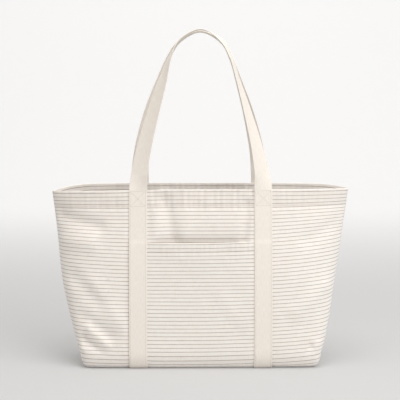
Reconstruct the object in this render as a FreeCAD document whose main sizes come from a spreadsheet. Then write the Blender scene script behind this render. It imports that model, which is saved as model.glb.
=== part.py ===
"""Canvas tote bag: two canvas panels, a slip pocket, webbing handles, bound seams and their stitching.

Millimetres, +Z up, the front face towards -Y. The origin is on the floor, under the middle of the base.
"""

import FreeCAD, Part
import math
import os

import Sketcher

V = FreeCAD.Vector
X_AXIS = V(1, 0, 0)

# The driving dimensions. A level is a height at which the bag's outline is drawn: each outline is a
# ten-sided ring with a side seam at either end, a shoulder, and a flat stretch front and back.
SIZES = {
    "rim_height": 376,
    "canvas": 1.6,
    "webbing": 1.8,
    "pocket_cloth": 1.2,
    "base_seam_x": 244,
    "base_shoulder_x": 244,
    "base_shoulder_share": 0.75,
    "base_flat_x": 222,
    "base_front_y": 80,
    "base_back_y": 80,
    "middle_height": 150,
    "middle_seam_x": 285,
    "middle_shoulder_x": 262,
    "middle_shoulder_share": 0.62,
    "middle_flat_x": 214,
    "rim_seam_x": 316,
    "rim_shoulder_x": 272,
    "rim_shoulder_share": 0.5,
    "rim_flat_x": 190,
    "rim_front_y": 50,
    "rim_back_y": 68,
    "hem_depth": 35,
    "strap_x": 131,
    "strap_width": 38,
    "seam_gap": 1,
    "pocket_half_width": 148,
    "pocket_edge_x": 104,
    "pocket_flat_x": 84,
    "pocket_height": 267,
    "pocket_gape": 10,
    "pocket_slack": 0.6,
    "pocket_hem": 20,
    "strap_step": 4,
    "handle_gap": 1.3,
    "handle_step": 2.3,
    "handle_apex_height": 712,
    "handle_apex_y": 20.5,
    "binding_width": 11,
    "binding_thickness": 2.6,
    "binding_clearance": 0.3,
    "thread": 0.6,
    "thread_rise": 0.5,
    "thread_clearance": 0.2,
    "stitch_inset": 3,
    "box_height": 31,
}
# The free part of a handle, from one leg to the middle: share of the strap's half spacing outwards, and
# share of the drop upwards. It rises almost straight, leans in, and turns over a narrow round top.
HANDLE_ROUTE = (
    (1.0, 0.0), (0.985, 0.08), (0.9, 0.26), (0.75, 0.49), (0.59, 0.7), (0.485, 0.83), (0.345, 0.93),
)
HANDLE_STATIONS = 29
TWIST_SHARE = 0.85  # of the way to the top by which the webbing has turned a quarter turn
MIDDLE = "0 * Sizes.canvas"  # a zero that an expression can hold

doc = FreeCAD.newDocument("canvas_tote_bag")
sheet = doc.addObject("Spreadsheet::Sheet", "Sizes")
for row, (alias, value) in enumerate(SIZES.items(), start=1):
    sheet.set(f"A{row}", alias)
    sheet.set(f"B{row}", str(value))
    sheet.setAlias(f"B{row}", alias)
doc.recompute()

nodes = []


def value_of(expression):
    """The number, in millimetres, that an expression over the sheet gives."""
    found = sheet.evalExpression(expression)
    return float(getattr(found, "Value", found))


def size(alias):
    return value_of(f"Sizes.{alias}")


def node(feature, label):
    """Marks a document object as one of the bag's sub-parts."""
    feature.Label = label
    nodes.append(feature)
    return feature


def add(kind, name, **links):
    feature = doc.addObject(kind, name)
    for key, linked in links.items():
        setattr(feature, key, linked)
    return feature


def bind(feature, **expressions):
    for key, expression in expressions.items():
        feature.setExpression(key.replace("__", "."), expression)
    return feature


def draw_polygon(sketch, points):
    """Adds a closed polygon whose corners are held by expressions over the sheet."""
    places = [V(value_of(x), value_of(y), 0) for x, y in points]
    first = sketch.GeometryCount
    count = len(points)
    for i, place in enumerate(places):
        sketch.addGeometry(Part.LineSegment(place, places[(i + 1) % count]), False)
    for i in range(count):
        sketch.addConstraint(Sketcher.Constraint("Coincident", first + i, 2, first + (i + 1) % count, 1))
    for i, (place, expressions) in enumerate(zip(places, points)):
        for direction, distance, expression in zip(("DistanceX", "DistanceY"), place, expressions):
            if abs(distance) < 1e-9:
                axis = -2 if direction == "DistanceX" else -1
                sketch.addConstraint(Sketcher.Constraint("PointOnObject", first + i, 1, axis))
                continue
            held = sketch.addConstraint(Sketcher.Constraint(direction, -1, 1, first + i, 1, distance))
            sketch.setExpression(f"Constraints[{held}]", expression)


def mirrored(points):
    """The right half of a ring, bottom to top, with its mirror image in the vertical axis."""
    return points + [(f"-({x})", y) for x, y in reversed(points)]


def free_sketch(name, points, height):
    """A closed polygon in a horizontal plane."""
    sketch = add("Sketcher::SketchObject", name)
    draw_polygon(sketch, points)
    bind(sketch, Placement__Base__z=height)
    return sketch


def padded_body(name, plane, polygons, length, midplane=True):
    """A PartDesign body: polygons drawn on one of its origin planes and padded."""
    body = doc.addObject("PartDesign::Body", name)
    sketch = body.newObject("Sketcher::SketchObject", name + "_sketch")
    origin_plane = next(f for f in body.Origin.OriginFeatures if f.Role == plane)
    sketch.AttachmentSupport = [(origin_plane, "")]
    sketch.MapMode = "FlatFace"
    for points in polygons:
        draw_polygon(sketch, points)
    pad = body.newObject("PartDesign::Pad", name + "_pad")
    pad.Profile = sketch
    pad.SideType = "Symmetric" if midplane else "One side"
    bind(pad, Length=length)
    return body


# ---------------------------------------------------------------- outlines of the bag at each level


def depth_at(side, height):
    """How far the flat of the front or back stands from the middle at a height: a straight wall."""
    low, high = f"Sizes.base_{side}_y", f"Sizes.rim_{side}_y"
    return f"({low} + ({high} - {low}) * ({height} - Sizes.webbing) / (Sizes.rim_height - Sizes.webbing))"


def level_key(key, level):
    """A level's own dimension, or, at the hem line, the one between the middle's and the rim's."""
    if level != "hem":
        return f"Sizes.{level}_{key}"
    low, high = f"Sizes.middle_{key}", f"Sizes.rim_{key}"
    share = "(1 - Sizes.hem_depth / (Sizes.rim_height - Sizes.middle_height))"
    return f"({low} + ({high} - {low}) * {share})"


LEVEL_HEIGHT = {
    "base": "Sizes.webbing",
    "middle": "Sizes.middle_height",
    "hem": "(Sizes.rim_height - Sizes.hem_depth)",
    "rim": "Sizes.rim_height",
}


def outline(name, level, height=None):
    """The bag's ring of outer corners at a level, from the front round the right-hand seam to the back."""
    at = LEVEL_HEIGHT[level]
    front, back = depth_at("front", at), depth_at("back", at)
    share = level_key("shoulder_share", level)
    flat, shoulder, seam = (level_key(key, level) for key in ("flat_x", "shoulder_x", "seam_x"))
    right = [
        (flat, f"-({front})"),
        (shoulder, f"-({front}) * {share}"),
        (seam, MIDDLE),
        (shoulder, f"{back} * {share}"),
        (flat, back),
    ]
    return free_sketch(name, mirrored(right), height or at)


def offset(source, name, distance):
    """The outline moved outwards by a distance, or inwards where it is negative."""
    ring = add("Part::Offset2D", name, Source=source, Join="Intersection")
    return bind(ring, Value=distance)


def loft(name, sections):
    return add("Part::Loft", name, Sections=sections, Solid=True, Ruled=True)


def box(name, low, high):
    """A block between two corners, each given as three expressions."""
    block = add("Part::Box", name)
    for axis, key, start, end in zip("xyz", ("Length", "Width", "Height"), low, high):
        bind(block, **{f"Placement__Base__{axis}": start, key: f"({end}) - ({start})"})
    return block


# ---------------------------------------------------------------- panels


def panels():
    """The canvas shell, cut in two along the side seams and the seam under the base.

    The top edge is turned in once, so the wall is two layers thick above the hem line.
    """
    inner_floor = "Sizes.webbing + Sizes.canvas"
    rings = [outline(f"{level}_outline", level) for level in ("base", "middle", "rim")]
    floor_ring = outline("base_inside_outline", "base", inner_floor)
    inside = [floor_ring, rings[1], rings[2]]
    levels = ("base", "middle", "rim")
    single = [offset(r, f"{n}_inside", "-Sizes.canvas") for r, n in zip(inside, levels)]
    double = [offset(r, f"{n}_hem_inside", "-2 * Sizes.canvas") for r, n in zip(inside, levels)]
    outer, cavity, narrow = loft("outer", rings), loft("cavity", single), loft("narrow_cavity", double)
    reach, deep = "2 * Sizes.rim_seam_x", "2 * Sizes.rim_back_y + Sizes.base_back_y"
    below_hem = box(
        "below_hem",
        (f"-{reach}", f"-({deep})", MIDDLE),
        (reach, deep, LEVEL_HEIGHT["hem"]),
    )
    lower_cavity = add("Part::Common", "lower_cavity", Base=cavity, Tool=below_hem)
    whole_cavity = add("Part::Fuse", "whole_cavity", Base=lower_cavity, Tool=narrow)
    shell = add("Part::Cut", "shell", Base=outer, Tool=whole_cavity)
    for side, low, high in (("front", f"-({deep})", MIDDLE), ("back", MIDDLE, deep)):
        half = box(f"{side}_half", (f"-{reach}", low, MIDDLE), (reach, high, "2 * Sizes.rim_height"))
        node(add("Part::Common", f"{side}_panel", Base=shell, Tool=half), f"{side}_panel")


def pocket():
    """A slip pocket on the front, its sides caught under the straps. It gapes towards its mouth."""

    def section(name, height, gape, hollow):
        face = depth_at("front", height)
        skin = MIDDLE if hollow else "Sizes.pocket_cloth"
        right = [
            ("Sizes.pocket_flat_x", f"-({face} + {gape} + {skin})"),
            ("Sizes.pocket_edge_x", f"-({face} + {skin})") if not hollow else None,
            ("Sizes.pocket_half_width", f"-({face} + {skin})") if not hollow else None,
            ("Sizes.pocket_edge_x" if hollow else "Sizes.pocket_half_width", f"-({face})"),
        ]
        return free_sketch(name, mirrored([point for point in right if point]), height)

    foot, mouth = "Sizes.webbing", "Sizes.pocket_height"
    lining_foot = "(Sizes.webbing + Sizes.pocket_cloth)"
    cloth = loft(
        "pocket_outside",
        [
            section("pocket_foot", foot, "Sizes.pocket_slack", False),
            section("pocket_mouth", mouth, "Sizes.pocket_gape", False),
        ],
    )
    space = loft(
        "pocket_inside",
        [
            section("pocket_space_foot", lining_foot, "Sizes.pocket_slack", True),
            section("pocket_space_mouth", mouth, "Sizes.pocket_gape", True),
        ],
    )
    node(add("Part::Cut", "front_pocket", Base=cloth, Tool=space), "front_pocket")


# ---------------------------------------------------------------- webbing


def up_the_wall(side, rise, foot="Sizes.webbing", top="Sizes.rim_height"):
    """The bends, in Y and Z, of a line that climbs a distance outside a sewn strap's inner face.

    On the front the strap lies over the pocket's cloth, and steps down onto the wall above the pocket.
    """
    facing = "-" if side == "front" else ""
    under = "Sizes.pocket_cloth" if side == "front" else MIDDLE
    bends = [(under, foot)]
    if side == "front":
        bends += [(under, "Sizes.pocket_height"), (MIDDLE, "(Sizes.pocket_height + Sizes.strap_step)")]
    bends.append((MIDDLE, top))
    return [(f"{facing}({depth_at(side, z)} + {out} + {rise})", z) for out, z in bends]


def sewn_strap(side, hand):
    """The part of a handle that is sewn down: under the base from its seam, and up the face to the rim."""
    facing = "-" if side == "front" else ""
    inner, outer = up_the_wall(side, MIDDLE), up_the_wall(side, "Sizes.webbing")
    under_base = [(f"{facing}Sizes.seam_gap", "Sizes.webbing"), (f"{facing}Sizes.seam_gap", MIDDLE)]
    profile = [*under_base, (outer[0][0], MIDDLE), *outer[1:], *reversed(inner)]
    name = f"{side}_{hand}_strap"
    body = padded_body(name, "YZ_Plane", [profile], "Sizes.strap_width")
    bind(body, Placement__Base__x=f"{'-' if hand == 'left' else ''}Sizes.strap_x")
    node(body, name)


def handle_line(side):
    """The middle line of a handle's free part, from the left leg over the top to the right leg."""
    sign = -1 if side == "front" else 1
    start_y = sign * (size(f"rim_{side}_y") + size("webbing") / 2 + size("handle_step"))
    start_z = size("rim_height") + size("handle_gap")
    drop = size("handle_apex_height") - start_z
    top_y = sign * size("handle_apex_y")
    half = [
        V(-size("strap_x") * out, start_y + (top_y - start_y) * up, start_z + drop * up)
        for out, up in HANDLE_ROUTE
    ]
    other = [V(-p.x, p.y, p.z) for p in reversed(half)]
    curve = Part.BSplineCurve()
    curve.interpolate(half + [V(0, top_y, start_z + drop)] + other)
    return curve


def free_handle(side):
    """The free part of a handle: flat webbing that turns a quarter turn from each leg to the top."""
    curve = handle_line(side)
    half_width, half_thickness = size("strap_width") / 2, size("webbing") / 2
    length = curve.length()
    rings = []
    for i in range(HANDLE_STATIONS):
        along = length * i / (HANDLE_STATIONS - 1)
        at = curve.parameterAtDistance(along, curve.FirstParameter)
        centre = curve.value(at)
        tangent = curve.tangent(at)[0]
        from_leg = min(along, length - along) / (length / 2)
        turn = math.pi / 2 * min(1.0, from_leg / TWIST_SHARE)
        level = V(0, 1, 0)
        upright = level.cross(tangent).normalize()
        towards = -1 if side == "front" else 1
        across = upright * math.cos(turn) + level * (towards * math.sin(turn))
        across = (across - tangent * across.dot(tangent)).normalize()
        normal = tangent.cross(across)
        corners = [
            centre + across * (half_width * a) + normal * (half_thickness * b)
            for a, b in ((-1, -1), (1, -1), (1, 1), (-1, 1))
        ]
        rings.append(Part.makePolygon(corners + corners[:1]))
    feature = doc.addObject("Part::Feature", f"{side}_handle")
    feature.Shape = Part.makeLoft(rings, True, False)
    node(feature, f"{side}_handle")


# ---------------------------------------------------------------- seam bindings, inside the bag


def seam_inside(level):
    """Where, inside a side seam, the two panels' inner faces are a binding's thickness apart."""
    depth, share = depth_at("front", LEVEL_HEIGHT[level]), level_key("shoulder_share", level)
    seam, shoulder = level_key("seam_x", level), level_key("shoulder_x", level)
    lean = f"(({seam} - {shoulder}) / ({depth} * {share}))"
    corner = f"Sizes.canvas * sqrt(1 + {lean} * {lean})"
    return f"({seam} - {corner} - Sizes.binding_thickness / 2 * {lean} - Sizes.binding_clearance)"


def side_binding(hand):
    """Tape folded over the side seam's raw edges, standing into the bag from the base to the hem."""
    sign = "-" if hand == "left" else ""
    floor = "(Sizes.webbing + Sizes.canvas + Sizes.binding_thickness)"
    top = f"({LEVEL_HEIGHT['hem']} - Sizes.canvas)"
    bends = [
        (seam_inside("base"), floor),
        (seam_inside("middle"), "Sizes.middle_height"),
        (seam_inside("hem"), top),
    ]
    outer = [(f"{sign}{x}", z) for x, z in bends]
    inner = [(f"{sign}({x} - Sizes.binding_width)", z) for x, z in reversed(bends)]
    name = f"{hand}_side_seam_binding"
    node(padded_body(name, "XZ_Plane", [[*outer, *inner]], "Sizes.binding_thickness"), name)


def floor_bindings():
    """Tape over the seam under the base, and over the seam across each squared-off corner."""
    floor = "(Sizes.webbing + Sizes.canvas)"
    top = f"({floor} + Sizes.binding_thickness)"
    corner = "(Sizes.base_seam_x - Sizes.canvas)"
    inner = f"({corner} - Sizes.binding_width)"
    half_tape = "Sizes.binding_width / 2"
    end = f"({inner} - Sizes.canvas)"
    tape = box("base_seam_binding", (f"-{end}", f"-{half_tape}", floor), (end, half_tape, top))
    node(tape, "base_seam_binding")
    across = "(Sizes.base_back_y * Sizes.base_shoulder_share - Sizes.canvas)"
    for hand, near, far in (("left", f"-{corner}", f"-{inner}"), ("right", inner, corner)):
        name = f"{hand}_corner_seam_binding"
        tape = box(name, (near, f"-{across}", floor), (far, across, top))
        node(tape, name)


# ---------------------------------------------------------------- stitching


def hem_stitching():
    """The row that holds the turned-in top edge, round each panel between and beside the straps."""
    ring = outline("hem_outline", "hem", "(Sizes.rim_height - Sizes.hem_depth + Sizes.thread)")
    faces = {
        "hem_row_outside": "Sizes.thread_clearance + Sizes.thread_rise",
        "hem_row_inside": "Sizes.thread_clearance",
    }
    blocks = []
    for name, distance in faces.items():
        sweep = add("Part::Extrusion", name, Base=offset(ring, name + "_ring", distance), Solid=True)
        sweep.DirMode = "Custom"
        sweep.Dir = V(0, 0, 1)
        blocks.append(bind(sweep, LengthFwd="Sizes.thread"))
    row = add("Part::Cut", "hem_row", Base=blocks[0], Tool=blocks[1])
    reach, deep = "2 * Sizes.rim_seam_x", "2 * Sizes.rim_back_y"
    near = "(Sizes.strap_x - Sizes.strap_width / 2 - Sizes.thread)"
    far = "(Sizes.strap_x + Sizes.strap_width / 2 + Sizes.thread)"
    low, high = MIDDLE, "2 * Sizes.rim_height"
    for side, start, end in (("front", f"-{deep}", "-Sizes.thread"), ("back", "Sizes.thread", deep)):
        spans = [
            box(f"{side}_span_{i}", (a, start, low), (b, end, high))
            for i, (a, b) in enumerate(((f"-{reach}", f"-{far}"), (f"-{near}", near), (far, reach)))
        ]
        strips = [
            add("Part::Common", f"{side}_hem_row_{i}", Base=row, Tool=span)
            for i, span in enumerate(spans)
        ]
        node(add("Part::Compound", f"{side}_hem_stitching", Links=strips), f"{side}_hem_stitching")


def on_strap(feature, side, hand):
    """Lays a piece drawn flat in X and Z on the outer face of a strap at the rim, leaning with the wall."""
    sign = -1 if side == "front" else 1
    rise = size("webbing") + size("thread_clearance") + size("thread_rise") / 2
    fall = size("rim_height") - size("webbing")
    lean = sign * math.degrees(math.atan2(size(f"base_{side}_y") - size(f"rim_{side}_y"), fall))
    across = (-1 if hand == "left" else 1) * size("strap_x")
    top = V(across, sign * (size(f"rim_{side}_y") + rise), size("rim_height"))
    feature.Placement = FreeCAD.Placement(top, FreeCAD.Rotation(X_AXIS, lean))
    return feature


def rectangle(half_width, low, high):
    return [(f"-{half_width}", low), (half_width, low), (half_width, high), (f"-{half_width}", high)]


def box_stitching(side, hand):
    """A stitched box with a cross in it, over the hem at the top of a sewn strap."""
    wide = "(Sizes.strap_width / 2 - Sizes.stitch_inset)"
    high = "-Sizes.stitch_inset"
    low = f"({high} - Sizes.box_height)"
    middle = f"({high} - Sizes.box_height / 2)"
    line = "Sizes.thread"
    gap = f"({line} * 1.4)"
    in_x = f"({wide} - {line} - {gap})"
    in_z = f"(Sizes.box_height / 2 - {line} - {gap})"
    hole_x = f"({wide} - {line})"
    hole_z = f"(Sizes.box_height / 2 - {line})"
    polygons = [rectangle(wide, low, high)]
    for sign in ("", "-"):
        polygons.append([
            (f"-{in_x}", f"{middle} - {sign}{hole_z}"),
            (in_x, f"{middle} - {sign}{hole_z}"),
            (MIDDLE, f"{middle} - {sign}{gap}"),
        ])
        polygons.append([
            (f"{sign}{hole_x}", f"{middle} - {in_z}"),
            (f"{sign}{hole_x}", f"{middle} + {in_z}"),
            (f"{sign}{gap}", middle),
        ])
    name = f"{side}_{hand}_box_stitching"
    body = padded_body(name, "XZ_Plane", polygons, "Sizes.thread_rise")
    node(on_strap(body, side, hand), name)


def edge_stitching(side, hand):
    """The two rows along the edges of a sewn strap, up to the stitched box."""
    sign = -1 if hand == "left" else 1
    ends = ("(2 * Sizes.stitch_inset)", "(Sizes.rim_height - Sizes.box_height - 2 * Sizes.stitch_inset)")
    face = "Sizes.webbing + Sizes.thread_clearance"
    near, far = up_the_wall(side, face, *ends), up_the_wall(side, f"{face} + Sizes.thread_rise", *ends)
    reach = size("strap_width") / 2 - size("stitch_inset")
    name = f"{side}_{hand}_edge_stitching"
    rows = []
    for i, across in enumerate((-reach, reach)):
        row = padded_body(f"{name}_{i}", "YZ_Plane", [[*near, *reversed(far)]], "Sizes.thread")
        row.Placement.Base = V(sign * size("strap_x") + across, 0, 0)
        rows.append(row)
    node(add("Part::Compound", name, Links=rows), name)


def pocket_stitching():
    """The row below the pocket's turned-in top edge."""
    height = "(Sizes.pocket_height - Sizes.pocket_hem)"
    climb = f"(({height} - Sizes.webbing) / (Sizes.pocket_height - Sizes.webbing))"
    gape = f"(Sizes.pocket_slack + (Sizes.pocket_gape - Sizes.pocket_slack) * {climb})"
    skin = f"({depth_at('front', height)} + Sizes.pocket_cloth + Sizes.thread_clearance)"
    flat, edge = "Sizes.pocket_flat_x", "Sizes.pocket_edge_x"
    near = mirrored([(edge, f"-{skin}"), (flat, f"-({skin} + {gape})")])
    far = [(x, f"{y} - Sizes.thread_rise") for x, y in reversed(near)]
    body = padded_body("pocket_hem_stitching", "XY_Plane", [[*near, *far]], "Sizes.thread")
    bind(body, Placement__Base__z=height)
    node(body, "pocket_hem_stitching")


def check(feature):
    shape = feature.Shape
    if shape.isNull() or not shape.isValid() or not shape.Solids:
        raise RuntimeError(f"{feature.Label} is not a valid solid")
    if any(solid.Volume <= 0 for solid in shape.Solids):
        raise RuntimeError(f"{feature.Label} has a solid with no volume")


panels()
pocket()
for side in ("front", "back"):
    free_handle(side)
    for hand in ("left", "right"):
        sewn_strap(side, hand)
        box_stitching(side, hand)
        edge_stitching(side, hand)
for hand in ("left", "right"):
    side_binding(hand)
floor_bindings()
hem_stitching()
pocket_stitching()
doc.recompute()

failed = [f.Name for f in doc.Objects if {"Invalid", "Error"} & set(f.State)]
if failed:
    raise RuntimeError(f"these objects failed: {failed}")
for feature in nodes:
    check(feature)

os.makedirs("parts", exist_ok=True)
for feature in nodes:
    feature.Shape.exportStep(f"parts/{feature.Label}.step")
    print(f"{feature.Label}: {feature.Shape.Volume:.0f} mm3 in {len(feature.Shape.Solids)} solid(s)")
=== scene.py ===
"""Canvas tote bag, standing open and empty: striped cotton canvas, a slip pocket, and webbing handles.

Lengths are in metres unless a name says otherwise. The front faces -Y and the mouth opens towards +Z.
"""

import math
import random

import bmesh
import bpy
import numpy as np
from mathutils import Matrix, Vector


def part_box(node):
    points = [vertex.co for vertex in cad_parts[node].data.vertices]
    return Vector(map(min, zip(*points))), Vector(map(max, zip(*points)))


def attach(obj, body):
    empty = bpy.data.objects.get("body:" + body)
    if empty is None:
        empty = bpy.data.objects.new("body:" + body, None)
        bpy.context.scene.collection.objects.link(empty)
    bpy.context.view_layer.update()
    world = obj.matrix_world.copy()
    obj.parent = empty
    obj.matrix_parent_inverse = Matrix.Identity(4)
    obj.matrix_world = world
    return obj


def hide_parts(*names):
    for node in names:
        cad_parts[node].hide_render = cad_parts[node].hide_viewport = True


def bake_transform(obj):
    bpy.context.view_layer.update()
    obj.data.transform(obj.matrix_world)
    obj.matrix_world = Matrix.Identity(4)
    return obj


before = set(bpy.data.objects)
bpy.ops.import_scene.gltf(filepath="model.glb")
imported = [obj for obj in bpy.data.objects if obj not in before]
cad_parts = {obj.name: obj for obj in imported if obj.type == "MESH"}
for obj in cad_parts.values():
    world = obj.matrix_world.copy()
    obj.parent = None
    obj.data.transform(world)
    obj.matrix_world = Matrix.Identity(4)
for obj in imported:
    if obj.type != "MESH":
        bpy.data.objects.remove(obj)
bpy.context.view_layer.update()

# ------ sizes

MM = 0.001
PANEL_LOW, PANEL_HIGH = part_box("front_panel")
BACK_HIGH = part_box("back_panel")[1]
STRAP_LOW, STRAP_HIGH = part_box("front_left_strap")
LOOP_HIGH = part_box("front_handle")[1]
POCKET_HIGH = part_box("front_pocket")[1]

RIM = PANEL_HIGH.z
FLOOR_OF_BAG = PANEL_LOW.z
SEAM_AT_RIM = PANEL_HIGH.x
SEAM_AT_BASE = 244.5 * MM
BASE_DEPTH = BACK_HIGH.y
RIM_DEPTH = {"front": 51 * MM, "back": 63 * MM}
HALF_CLOTH = 326 * MM  # half the width of each panel between its seams
BASE_ROUND = 20 * MM  # how far in the faces roll under the base
ROLL_HEIGHT = 32 * MM  # how far up the roll starts
CORNER_ROUND = 3.5 * MM  # the same at the ends, where the corner seams keep it sharp
WALL_LEAN = 30 * MM  # how far a wall leans in over its height
HEM = 35 * MM
CLOTH = 1.1 * MM
FOLD_ROUND = CLOTH * 1.05  # radius of cloth turned over at a hem
FOLD_START = 1 * MM  # how far below the finished edge the turn starts
WEB_X = (STRAP_LOW.x + STRAP_HIGH.x) / -2
WEB_WIDTH = STRAP_HIGH.x - STRAP_LOW.x
WEB_THICK = 1.8 * MM
STRAP_INNER = WEB_X - WEB_WIDTH / 2
STRAP_OUTER = WEB_X + WEB_WIDTH / 2
POCKET_HALF = POCKET_HIGH.x
POCKET_HEM = 20 * MM
APEX = LOOP_HIGH.z - 4.5 * MM  # the middle of the webbing at the top of the loop
APEX_Y = 20.5 * MM  # how far the top of each loop stands from the middle of the bag
SEAM_ALLOWANCE = 9 * MM
SEAM_GAP = 0.2 * MM  # from the middle of the bag to each panel's face in a side seam
TAPE_WIDTH = 11 * MM
STRIPE_PITCH = 8.15 * MM
STITCH_PITCH = 3.5 * MM
STITCH_LENGTH = 2.8 * MM
STITCH_INSET = 3 * MM
BOX_WIDTH = 32 * MM
# A handle's free half, leg to middle: share of the leg's distance outwards, and share of the rise.
HANDLE_ROUTE = (
    (1.0, 0.0), (0.985, 0.08), (0.9, 0.26), (0.75, 0.49), (0.59, 0.7), (0.485, 0.83), (0.345, 0.93),
)
# How far the webbing has turned from facing the front, in degrees, by share of the rise.
LEG_TURN = {
    "front_left": ((0, 0), (0.06, 23), (0.36, 40), (0.66, 58), (0.81, 78), (0.92, 92), (1, 90)),
    "front_right": (
        (0, 0), (0.09, 32), (0.25, 48), (0.45, 61), (0.7, 77), (0.82, 80), (0.93, 75), (1, 90),
    ),
    "back_left": ((0, 0), (0.1, 18), (0.5, 50), (0.8, 76), (1, 90)),
    "back_right": ((0, 0), (0.07, 8), (0.2, 36), (0.45, 54), (0.75, 78), (1, 90)),
}

SIGN = {"front": -1, "back": 1}


def smooth(low, high, value):
    """0 below low, 1 above high, and an even S between them."""
    t = np.clip((value - low) / (high - low), 0, 1)
    return t * t * (3 - 2 * t)


def hump(value, middle, width):
    """A round hump, 1 at its middle and nearly 0 at two widths from it."""
    return np.exp(-(((value - middle) / width) ** 2))


def unit(v):
    return v / np.linalg.norm(v, axis=-1, keepdims=True)


def length_along(points):
    """For each point of a line, its distance along the line from the first."""
    return np.concatenate([[0], np.cumsum(np.linalg.norm(np.diff(points, axis=0), axis=1))])


def read_along(values, length, at):
    """Rows of three values, read off at distances along a line."""
    return np.stack([np.interp(at, length, values[:, k]) for k in range(3)], axis=-1)


def square_to(tangent, across):
    """Directions across made square to the line."""
    return unit(across - tangent * np.sum(across * tangent, axis=1, keepdims=True))


# ------ the shape of the cloth

# A height up the cloth is measured along it from the seam under the base: across the base, round the
# roll at its edge, and up the wall to the rim.
BASE_RUN = BASE_DEPTH - BASE_ROUND
ROLL_END = BASE_RUN + math.sqrt((BASE_ROUND**2 + ROLL_HEIGHT**2) / 2) * math.pi / 2
WALL_HEIGHT = RIM - FLOOR_OF_BAG - ROLL_HEIGHT
WALL = math.hypot(WALL_HEIGHT, WALL_LEAN)
RIM_RUN = ROLL_END + WALL


def cloth_height(z):
    """The run up the cloth at which a wall reaches a height above the floor."""
    return ROLL_END + (z - FLOOR_OF_BAG - ROLL_HEIGHT) / WALL_HEIGHT * WALL


MOUTH_RUN = cloth_height(POCKET_HIGH.z)


def quarter_ring(side, run, across):
    """Points of the ring at a run up the cloth, at distances across it from its middle to its seam.

    The rings go from an almost square-cornered base to a lens at the rim: the higher a ring's powers,
    the squarer it is. A lower ring is shorter than the cloth is wide, and the spare cloth is taken up
    near the seam.
    """
    turned = min(1.0, max(0.0, (run - BASE_RUN) / (ROLL_END - BASE_RUN))) * math.pi / 2
    height = ROLL_HEIGHT * (1 - math.cos(turned)) + max(0.0, run - ROLL_END) / WALL * WALL_HEIGHT
    level = height / (RIM - FLOOR_OF_BAG)
    bulge = 4 * MM * math.sin(math.pi * level)
    under = 1 - math.sin(turned)
    reach_x = SEAM_AT_BASE + (SEAM_AT_RIM - SEAM_AT_BASE) * level**0.7 - CORNER_ROUND * under
    reach_y = BASE_DEPTH + (RIM_DEPTH[side] - BASE_DEPTH) * level + bulge - BASE_ROUND * under
    low, square = (1 - level) ** 1.7, 10 * (1 - level) ** 7
    full = 0.0 if side == "front" else 0.5
    power_x, power_y = 3.3 + full + 5.2 * low + square, 1.35 + full + 3.65 * low + 0.7 * square
    angle = np.linspace(0, math.pi / 2, 500)
    x = reach_x * np.sin(angle) ** (2 / power_x)
    y = reach_y * np.cos(angle) ** (2 / power_y)
    along = np.concatenate([[0], np.cumsum(np.hypot(np.diff(x), np.diff(y)))])
    at = across - (HALF_CLOTH - along[-1]) * (across / HALF_CLOTH) ** 4.5
    return np.interp(at, along, x), np.interp(at, along, y), FLOOR_OF_BAG + height


def settle(side, points, across):
    """How the empty bag has settled.

    Its rim hangs at the ends, its left side bellies out, one lower corner is pushed in, and its base
    rests on the floor.
    """
    x, y, z = points[..., 0], points[..., 1], points[..., 2]
    reach = 0.07 if side == "front" else 0.24
    end = np.clip((np.abs(across) - reach) / (HALF_CLOTH - reach), 0, 1)
    hang = np.where(across < 0, 7 * MM, 1.5 * MM)
    back_up = 4.5 * MM * (side == "back") * smooth(HALF_CLOTH, 0.26, np.abs(across))
    belly = np.where(across < 0, -8.5 * MM, 2 * MM) * hump(z, 0.48 * RIM, 0.24 * RIM)
    belly = belly * smooth(0.13, 0.28, np.abs(x))
    high = smooth(0.2, RIM, z)
    z = z + high * (back_up - end * hang)
    z = z - 1.3 * MM * smooth(0.03, 0, z) * off_straps(across)
    low_end = smooth(0.16, 0.25, np.abs(x))
    pushed = np.where(across < 0, 2 * MM, -1 * MM) * low_end * smooth(0.1, 0.0, z)
    pushed = pushed + np.where(across < 0, -4 * MM, 4 * MM) * low_end * smooth(0.035, 0.0, z)
    return np.stack([x + belly + pushed, y, z], axis=-1)


def cut_place(across, run):
    """Where a place on the wall was in the flat cloth.

    The cloth is cut straight while the side seams lean outwards, so its stripes climb towards them.
    """
    level = np.clip((run - ROLL_END) / WALL, 0, 1)
    out = smooth(WEB_X - 30 * MM, HALF_CLOTH + 60 * MM, np.abs(across)) * 1.5
    below_rim = smooth(1.0, 0.7, level)
    climb = np.where(across > 0, 10.5 * MM, 3 * MM + 2.5 * MM * level)
    return np.stack([across, run - climb * out * below_rim], axis=-1)


def cubic_weights(at, count):
    """For places along evenly spaced knots: the four nearest knots and their weights."""
    first = np.clip(np.floor(at).astype(int), 0, count - 2)
    t = at - first
    knots = np.stack([np.clip(first + k, 0, count - 1) for k in (-1, 0, 1, 2)], axis=-1)
    weights = 0.5 * np.stack([
        -t + 2 * t**2 - t**3,
        2 - 5 * t**2 + 3 * t**3,
        t + 4 * t**2 - 3 * t**3,
        -(t**2) + t**3,
    ], axis=-1)
    return knots, weights


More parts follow.
